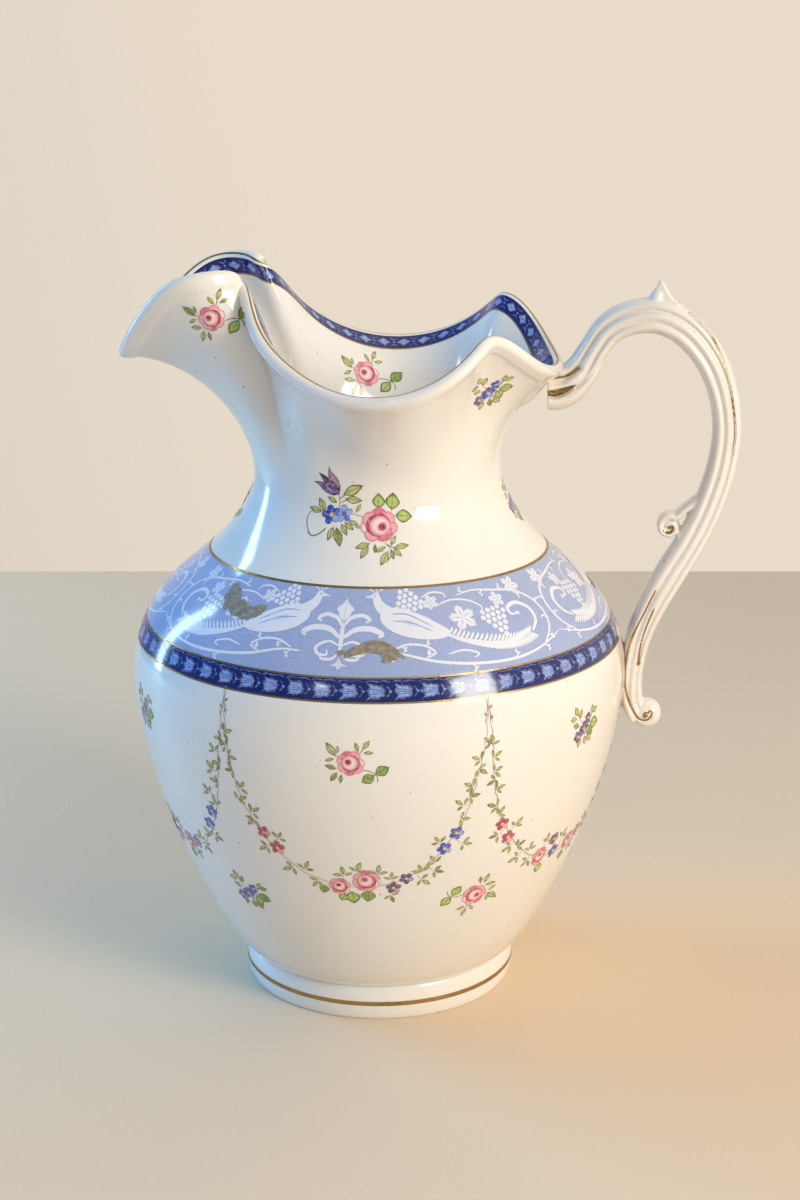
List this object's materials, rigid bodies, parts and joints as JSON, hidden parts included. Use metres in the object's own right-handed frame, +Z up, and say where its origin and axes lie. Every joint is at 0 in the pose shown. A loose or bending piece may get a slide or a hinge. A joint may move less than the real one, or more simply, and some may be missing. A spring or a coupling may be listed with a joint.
{
  "type": "ceramic pitcher",
  "caption": "Round-bellied glazed earthenware water jug with a waved rim, long pouring lip, turned foot and scrolled strap handle, banded and sprigged in colour and gilt.",
  "frame": {"origin": "on the table under the middle of the jug's overall length; the axis of the round body is 19.5 mm from it towards the pouring lip", "axes": "+Z up, +X towards the handle, -X towards the pouring lip, +Y to the left of someone looking along +X"},
  "size_m": [0.2395, 0.1946, 0.289],
  "materials": {
    "body_glaze": "gloss",
    "foot_glaze": "gloss",
    "handle_glaze": "gloss",
    "slip": "gloss",
    "band_blue": "gloss",
    "pale_blue": "gloss",
    "cream_print": "gloss",
    "enamel": "gloss",
    "gilt": "satin"
  },
  "bodies": {
    "root": {"foot_ring": "foot_glaze", "body": "body_glaze", "neck_and_spout": "body_glaze", "handle": "handle_glaze", "upper_handle_joint": "slip", "lower_handle_joint": "slip"}
  },
  "joints": []
}
